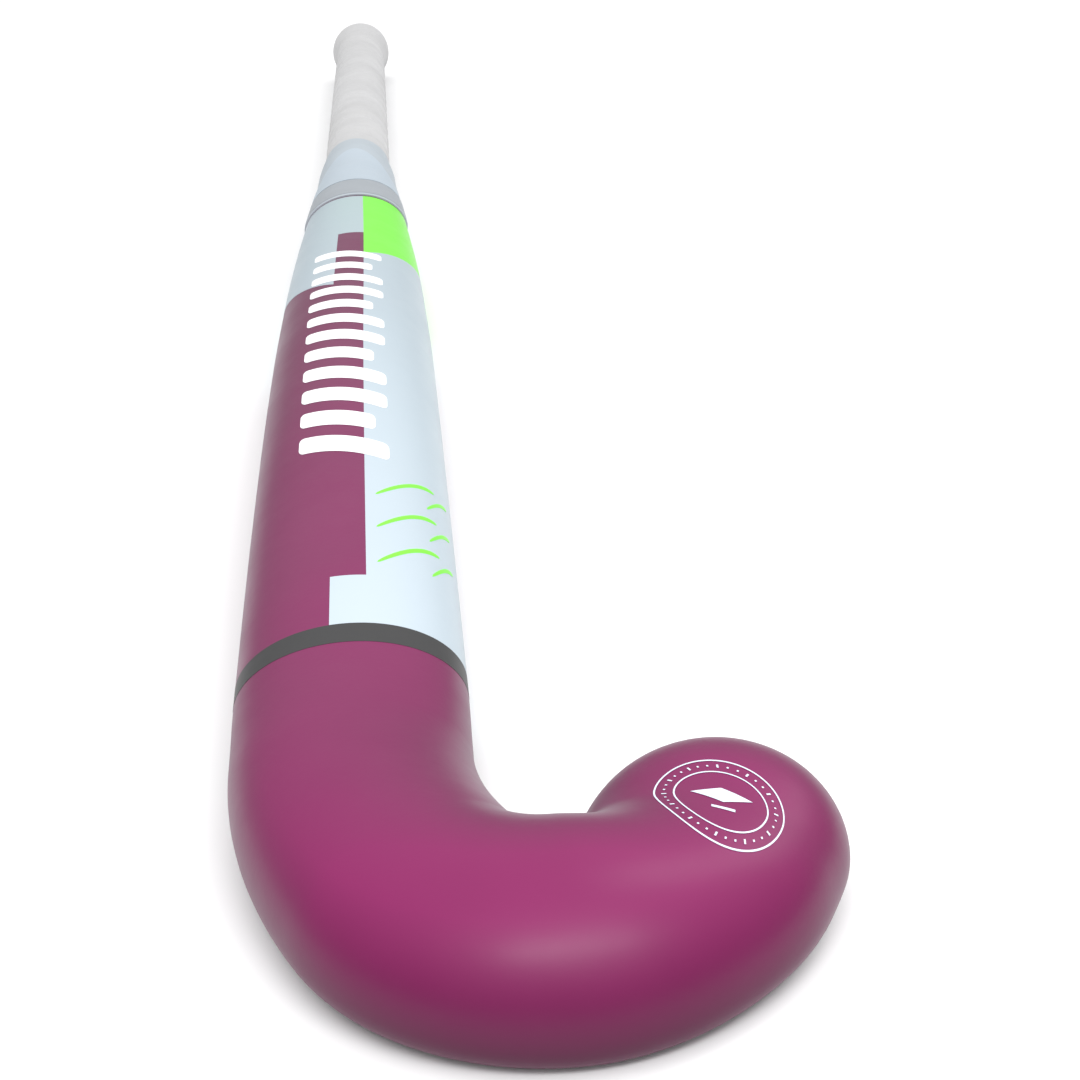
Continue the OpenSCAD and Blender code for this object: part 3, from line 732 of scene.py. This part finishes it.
def on_toe(x, y, g):
    """Points at x across and y along from the roundel's centre."""
    s = ROUNDEL_S + X_STEP[0] * x + Y_STEP[0] * y
    across = BACK_R * np.sin((ROUNDEL_P + X_STEP[1] * x + Y_STEP[1] * y) / BACK_R)
    a, up, ex, down, middle = size(s, g)
    return (raw(s, across, up * np.sqrt(np.maximum(1 - (across / a) ** 2, 0)), middle) - ORIGIN) * MM


def toe_sheet(x, y):
    return sheet_solid(on_toe(x, y, MARK_HIGH), on_toe(x, y, MARK_LOW))


def toe_ring(r0, r1):
    a = np.linspace(0, 2 * np.pi, 144, endpoint=False)
    r = np.linspace(r1, r0, 3)[:, None]
    x, y = r * np.cos(a), r * np.sin(a)
    return wrapped_solid(on_toe(x, y, MARK_HIGH), on_toe(x, y, MARK_LOW))


def tick(i):
    a = 2 * np.pi * i / TICKS
    longer = TICK_LONGER if i % 3 == 0 else 0
    r = np.linspace(ROUNDEL_INNER + TICK_IN - longer, ROUNDEL_R - TICK_OUT + longer, 4)[None, :]
    w = np.linspace(TICK_HALF, -TICK_HALF, 3)[:, None]
    return toe_sheet(r * np.cos(a) - w * np.sin(a), r * np.sin(a) + w * np.cos(a))


def lozenge():
    v, u = np.linspace(1, -1, 13)[:, None], np.linspace(-1, 1, 13)[None, :]
    return toe_sheet((u + v) * LOZENGE_X, (v - u) * LOZENGE_Y + LOZENGE_UP)


def short_bar():
    x, y = np.meshgrid(np.linspace(-2, 2, 13), np.linspace(-2.6, -3.2, 3))
    return toe_sheet(x, y)


rings = [toe_ring(ROUNDEL_R - RING_LINE, ROUNDEL_R), toe_ring(ROUNDEL_INNER - INNER_LINE, ROUNDEL_INNER)]
roundel = joined([*rings, *(tick(i) for i in range(TICKS)), lozenge(), short_bar()])
piece("roundel_films", *roundel, mark_paint, "roundel_print", "toe_roundel")

# ---- Handle ----
BUTT = (np.array([0.0, BUTT_Y, float(face_z(BUTT_Y)) + HANDLE_W / 2]) - ORIGIN) * MM
DOWN = np.array([0.0, -math.cos(HANDLE_TILT), math.sin(HANDLE_TILT)])
ACROSS = np.array([1.0, 0.0, 0.0])
UP = np.array([0.0, math.sin(HANDLE_TILT), math.cos(HANDLE_TILT)])
BORE_R = HANDLE_W / 2 + BOND
# Butt cap: its end disc, the depth of its skirt over the laminate, and of its shoulder and spigot
DISC_R, CAP_SKIRT, SHOULDER, SPIGOT_END = 10.5, 32.0, 10.0, 24.0
SPIGOT_R = HANDLE_W / 2 - WALL - 0.4
UNDERLAY_R = BORE_R + UNDERLAY_T
TAPE_R = UNDERLAY_R + BOND + TAPE_T
GRIP_LENGTH = BUTT_Y - COLLAR_LOW - COLLAR_H + 9
# Length over which the grip's lower end tapers off, and its thickness there
TAIL, TAIL_T = 12.0, 0.6
ROUND_STEPS = 96
ROUND = np.arange(ROUND_STEPS) / ROUND_STEPS * 2 * np.pi


def on_handle(r, d, angle):
    """Points at radius r and depth d below the butt's end, at angle round the handle (radians)."""
    r, d, angle = np.broadcast_arrays(r, d, angle)
    return BUTT + MM * (
        d[..., None] * DOWN + (r * np.cos(angle))[..., None] * ACROSS + (r * np.sin(angle))[..., None] * UP
    )


def bulb(d):
    """The cap's own radius at depth d: an elliptical shoulder, then a smooth fall to the handle."""
    neck = 1 - (np.maximum(d, TAPE_T) - TAPE_T) / (SHOULDER - TAPE_T)
    near = DISC_R + 0.5 + (BULB_R - DISC_R - 0.5) * np.sqrt(np.maximum(1 - neck**2, 0))
    fall = np.pi * np.clip((d - SHOULDER) / (CAP_SKIRT - SHOULDER), 0, 1)
    far = BORE_R + 0.5 + (BULB_R - BORE_R - 0.5) * (1 + np.cos(fall)) / 2
    return np.where(d < SHOULDER, near, far)


def tape_inner(d):
    """The tape's inner radius at depth d: over the cap, then over the underlay."""
    over_cap = np.maximum(bulb(d), np.where(d > SHOULDER, UNDERLAY_R, 0))
    return np.where(d <= CAP_SKIRT, over_cap, UNDERLAY_R) + BOND


def tape_profile():
    """Depths and radii of the tape's outer side, from the end disc over the shoulder and down the handle."""
    k = np.linspace(0, 1, 40) * np.pi / 2
    rim = DISC_R + 1.5
    shoulder_d = SHOULDER * (1 - np.cos(k))
    shoulder_r = rim + (BULB_R + BOND + TAPE_T - rim) * np.sin(k)
    main_d = np.concatenate([
        np.linspace(SHOULDER, CAP_SKIRT + 2, 40)[1:],
        np.linspace(CAP_SKIRT + 2, GRIP_LENGTH - TAIL, 400)[1:],
    ])
    tail_d = np.linspace(GRIP_LENGTH - TAIL, GRIP_LENGTH, 14)[1:]
    tail_k = np.linspace(0, np.pi, 14)[1:]
    tail_r = TAPE_R + (BORE_R + BOND + TAIL_T - TAPE_R) * (1 - np.cos(tail_k)) / 2
    depths = np.concatenate([[0.0], shoulder_d, main_d, tail_d])
    radii = np.concatenate([[DISC_R + BOND], shoulder_r, tape_inner(main_d) + TAPE_T, tail_r])
    return depths, radii


# Places over one turn's pitch where the lap has points, closer together at its edge
PHASES = np.array([0, .02, .045, .08, .13, .2, .3, .42, .54, .65, .74, .81, .865, .905, .935, .96, .98])
LAP_HEIGHT = 0.42


def lap_height(u):
    """Height of the tape over one pitch: it climbs over the last turn's edge and ends in a bevelled edge."""
    climb = np.clip(u / 0.88, 0, 1)
    rise = climb * climb * (3 - 2 * climb)
    fall = np.clip((u - 0.93) / 0.07, 0, 1)
    return LAP_HEIGHT * rise * (1 - fall * fall * (3 - 2 * fall))


def wound_tape():
    """A helix of tape: each row of points climbs one pitch in a turn, and meets the row one turn on."""
    profile_d, profile_r = tape_profile()
    walked = np.concatenate([[0.0], np.cumsum(np.hypot(np.diff(profile_d), np.diff(profile_r)))])
    length = walked[-1]
    turns = int(math.ceil(length / TAPE_PITCH)) + 1
    row_place = (np.arange(-1, turns)[:, None] + PHASES[None, :]).reshape(-1) * TAPE_PITCH
    place = np.clip(row_place[:, None] + TAPE_PITCH * ROUND[None, :] / (2 * np.pi), 0, length)
    # The laps fade out over the end disc's rim and before the tail
    fade = np.clip((place - 9) / 14, 0, 1) * np.clip((length - TAIL - place) / 4, 0, 1)
    lap = lap_height(np.tile(PHASES, turns + 1))[:, None] * fade
    radius = np.interp(place, walked, profile_r) + lap
    outside = on_handle(radius, np.interp(place, walked, profile_d), ROUND[None, :])

    rows, columns, per_turn = len(row_place), ROUND_STEPS, len(PHASES)
    faces = []
    for i in range(rows - 1):
        for j in range(columns):
            if j < columns - 1:
                f = (i * columns + j, i * columns + j + 1, (i + 1) * columns + j + 1, (i + 1) * columns + j)
            elif i + per_turn + 1 < rows:
                after = (i + per_turn) * columns
                f = (i * columns + j, after, after + columns, (i + 1) * columns + j)
            else:
                continue
            # Rows held at either end of the tape leave faces with no area, which are skipped
            if len({(round(place.flat[v], 6), v % columns) for v in f}) > 2:
                faces.append(f)

    cap_d = np.linspace(TAPE_T + 0.2, CAP_SKIRT, 30)
    inner_d = np.concatenate([[0.0, TAPE_T - 0.1], cap_d, [GRIP_LENGTH - TAIL, GRIP_LENGTH]])
    inner_r = np.concatenate([
        [DISC_R + BOND, DISC_R + BOND], tape_inner(cap_d), [UNDERLAY_R + BOND, BORE_R + BOND],
    ])
    inside = on_handle(inner_r[:, None], inner_d[:, None], ROUND[None, :])
    end_ring = on_handle(profile_r[-1], GRIP_LENGTH, ROUND)
    inner_start = rows * columns
    end_start = inner_start + len(inner_d) * columns
    faces += [tuple(f) for f in grid_faces(len(inner_d), columns, inner_start)[:, ::-1]]
    faces += [tuple(f) for f in ring_faces(end_start, end_start - columns, columns)]
    verts = np.concatenate([outside.reshape(-1, 3), inside.reshape(-1, 3), end_ring])
    piece("grip_tape_wound", verts, faces, grip_tape, "grip_tape", "grip_wrap", flat_edges=50)


def butt_cap():
    """Turned cap, whose end disc has a bead near its rim and a shallow dish in its middle."""
    disc = [
        (0, 0.5), (2.2, 0.5), (2.6, 0.1), (3.4, 0.0), (6.6, 0.0), (6.9, 0.45), (7.5, 0.45), (7.8, 0.0),
        (DISC_R - 0.4, 0.0), (DISC_R, 0.3), (DISC_R, TAPE_T),
    ]
    shoulder = TAPE_T + (SHOULDER - TAPE_T) * (np.arange(0, 13) / 12) ** 2
    skirt = np.linspace(SHOULDER, CAP_SKIRT, 24)[1:]
    side = [(float(bulb(d)), d) for d in (*shoulder, *skirt)]
    spigot = [
        (BORE_R, CAP_SKIRT), (BORE_R, SHELL_END), (SPIGOT_R, SHELL_END),
        (SPIGOT_R, SPIGOT_END - 0.5), (SPIGOT_R - 0.5, SPIGOT_END), (0, SPIGOT_END),
    ]
    r, d = np.array(disc + side + spigot, float).T
    verts = on_handle(r[:, None], d[:, None], ROUND[None, :]).reshape(-1, 3)
    faces = grid_faces(len(r), ROUND_STEPS)
    piece("butt_cap_moulded", verts, faces, cap_rubber, "butt_cap_plastic", "butt_cap", flat_edges=35)


wound_tape()
butt_cap()

# ---- Collar, which laps over the end of the grip and bridges the flare ----
COLLAR_T, LABEL_GAP = 0.5, 0.05
COLLAR_TOP = -COLLAR_LOW - COLLAR_H
OVER_GRIP = UNDERLAY_T + TAPE_T + 3 * BOND + 0.15
COLLAR_INNER = (
    (COLLAR_TOP - 3, OVER_GRIP), (COLLAR_TOP + 2, OVER_GRIP), (COLLAR_TOP + 12, 2.9),
    (COLLAR_TOP + 26, 1.45), (COLLAR_TOP + 50, 0.3), (-COLLAR_LOW, BOND),
)
CUFF_LOW = -COLLAR_LOW - 3
CUFF_TOP = CUFF_LOW - CUFF_H
LABEL_START, LABEL_DROP, LABEL_T = 20, 60, 0.1


def collar_g(s):
    """Offset of the collar's outer side, with a thinned upper edge and a raised hem near both edges."""
    thin = 0.3 * np.clip((s - COLLAR_TOP + 3) / 1.2 - 1, -1, 0)
    low_hem = 0.18 * np.exp(-(((s + COLLAR_LOW + 1.4) / 0.9) ** 2))
    top_hem = 0.14 * np.exp(-(((s - COLLAR_TOP - 6) / 1.6) ** 2))
    return along(COLLAR_INNER, s) + COLLAR_T + thin + (low_hem + top_hem)


def band(name, s, low, high, mat, slot, node_name):
    """A band round the stick between two offsets from its skin."""
    solid = wrapped_solid(fine_ring_stack(s, high), fine_ring_stack(s, low))
    piece(name, *solid, mat, slot, node_name)


def collar_band():
    s = np.linspace(COLLAR_TOP - 3, -COLLAR_LOW, 180)
    band("collar_band", s, along(COLLAR_INNER, s), collar_g(s), collar_film, "collar_tape", "collar_tape")


def cuff_band():
    """Its section swells a little between its edges."""
    s = np.linspace(CUFF_TOP, CUFF_LOW, 60)
    low = collar_g(s) + LABEL_GAP
    swell = 0.1 * np.sqrt(np.maximum(1 - (2 * (s - CUFF_TOP) / CUFF_H - 1) ** 8, 0))
    band("cuff_band", s, low, low + swell + 0.05, cuff_film, "cuff_tape", "collar_cuff")


def label_film():
    """Its upper edge is an arch over the back."""
    t = np.linspace(20, 160, 91)[None, :]
    top = COLLAR_TOP + LABEL_START + LABEL_DROP * (1 - np.sin(np.radians(t)))
    s = top + (CUFF_TOP - 1 - top) * np.linspace(0, 1, 45)[:, None]
    low = collar_g(s) + LABEL_GAP
    solid = sheet_solid(skin(s, t, low + LABEL_T), skin(s, t, low))
    piece("label_film", *solid, label_paint, "label_film", "collar_label")


collar_band()
cuff_band()
label_film()

# ---- Floor ----
FLOOR_HALF = 6.0


def floor():
    corners = [(x * FLOOR_HALF, y * FLOOR_HALF, 0) for x, y in ((-1, -1), (1, -1), (1, 1), (-1, 1))]
    mesh = bpy.data.meshes.new("floor")
    mesh.from_pydata(corners, [], [(0, 1, 2, 3)])
    obj = bpy.data.objects.new("floor", mesh)
    bpy.context.scene.collection.objects.link(obj)
    mat, tree, bsdf = new_material("floor_paper")
    broad = span(tree, noise(tree, coords(tree), scale=3, detail=2), 0.3, 0.7, 0, 1)
    paper = mix_colour(tree, broad, (0.86, 0.86, 0.865), (0.88, 0.88, 0.885))
    tree.links.new(paper, bsdf.inputs["Base Color"])
    bsdf.inputs["Roughness"].default_value = 0.9
    mesh.materials.append(mat)


floor()

# ---- Light: a soft overhead tent, dim at the horizon and bright above, and two softboxes ----
HORIZON, ZENITH = 0.3, 1.65
# Both softboxes point at the hook
HEAD = Vector((0.0, -0.42, 0.02))


def tent():
    world = bpy.data.worlds.new("studio")
    bpy.context.scene.world = world
    world.use_nodes = True
    sky = world.node_tree
    parts = node(sky, "ShaderNodeSeparateXYZ")
    sky.links.new(node(sky, "ShaderNodeTexCoord").outputs["Generated"], parts.inputs[0])
    background = sky.nodes["Background"]
    strength = span(sky, parts.outputs["Z"], 0.0, 1.0, HORIZON, ZENITH)
    sky.links.new(strength, background.inputs["Strength"])
    background.inputs["Color"].default_value = (1.0, 1.0, 1.0, 1)


def softbox(name, place, wide, high, watts):
    light = bpy.data.lights.new(name, "AREA")
    light.shape = "RECTANGLE"
    light.size, light.size_y, light.energy = wide, high, watts
    obj = bpy.data.objects.new(name, light)
    bpy.context.scene.collection.objects.link(obj)
    obj.location = place
    obj.rotation_euler = (HEAD - Vector(place)).to_track_quat("-Z", "Y").to_euler()


tent()
softbox("front_box", (0.1, -1.05, 0.95), wide=1.0, high=0.24, watts=6.5)
softbox("side_box", (0.75, 0.1, 1.0), wide=0.35, high=1.1, watts=3.0)

# ---- Camera, low in front of the hook and looking up the shaft ----
# Degrees round, above and of roll
CAM_AZ, CAM_EL, CAM_ROLL = -0.71, 24.743, -4.432
# Millimetres from a target, which is placed from the start of the first bend
CAM_DISTANCE, CAM_TARGET = 415.0, (22.84, 65.57, 9.71)
# Lens in millimetres, and the shift as parts of the frame
SENSOR, LENS, SHIFT_X, SHIFT_Y = 36.0, 65.2133, 0.071907, 0.07825


def camera():
    az, el, roll = (math.radians(x) for x in (CAM_AZ, CAM_EL, CAM_ROLL))
    back = Vector((math.sin(az) * math.cos(el), -math.cos(az) * math.cos(el), math.sin(el)))
    level_right = (-back).cross(Vector((0, 0, 1))).normalized()
    level_up = back.cross(level_right)
    right = level_right * math.cos(roll) + level_up * math.sin(roll)
    up = level_up * math.cos(roll) - level_right * math.sin(roll)
    target = Vector((np.array(CAM_TARGET) - ORIGIN) * MM)
    data = bpy.data.cameras.new("camera")
    data.sensor_width, data.lens = SENSOR, LENS
    data.shift_x, data.shift_y = SHIFT_X, SHIFT_Y
    data.clip_start, data.clip_end = 0.01, 100.0
    obj = bpy.data.objects.new("camera", data)
    bpy.context.scene.collection.objects.link(obj)
    turn = Matrix((right, up, back)).transposed().to_4x4()
    obj.matrix_world = Matrix.Translation(target + back * CAM_DISTANCE * MM) @ turn
    bpy.context.scene.camera = obj


camera()
bpy.context.scene.view_settings.view_transform = "Standard"
